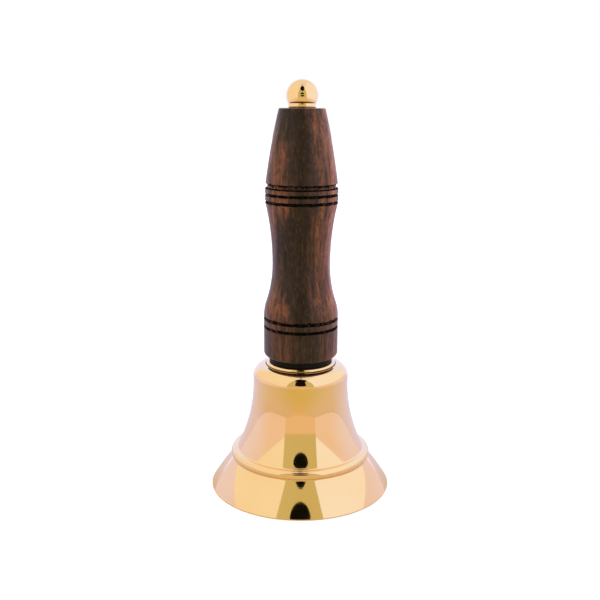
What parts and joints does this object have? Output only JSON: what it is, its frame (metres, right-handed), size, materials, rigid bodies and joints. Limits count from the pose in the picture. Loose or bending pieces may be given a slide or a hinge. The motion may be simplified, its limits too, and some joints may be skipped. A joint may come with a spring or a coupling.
{
  "type": "hand bell",
  "caption": "Polished brass hand bell with a turned dark wooden handle, a ball finial and a swivelling clapper, standing on its lip.",
  "frame": {"origin": "centre of the lip, on the plane that the bell stands on", "axes": "+Z along the axis of turning, from the lip up to the finial; the clapper swings along X at rest"},
  "size_m": [0.1, 0.1, 0.2231],
  "materials": {
    "brass": "polished",
    "rosewood": "satin varnish",
    "steel": "zinc plated",
    "fibre": "matte"
  },
  "bodies": {
    "bell": {"bell_cup": "brass", "finial_ball": "brass", "finial_collar": "brass", "handle": "rosewood", "handle_washer": "fibre", "tie_rod": "steel", "crown_washer": "steel", "spring_washer": "steel", "crown_nut": "steel", "swivel_washer": "steel", "swivel_clip": "steel"},
    "yoke": {"clapper_yoke": "steel", "clapper_pin": "steel", "pin_clip": "steel"},
    "clapper": {"clapper_stem": "steel", "clapper_ball": "brass"}
  },
  "joints": [
    {"name": "yoke_swivel", "type": "hinge", "parent": "bell", "child": "yoke", "pos_m": [0, 0, 0.05659], "axis": [0, 0, 1], "continuous": true},
    {"name": "clapper_swing", "type": "hinge", "parent": "yoke", "child": "clapper", "pos_m": [0, 0, 0.04887], "axis": [0, 1, 0], "range_deg": [-38, 38]}
  ]
}
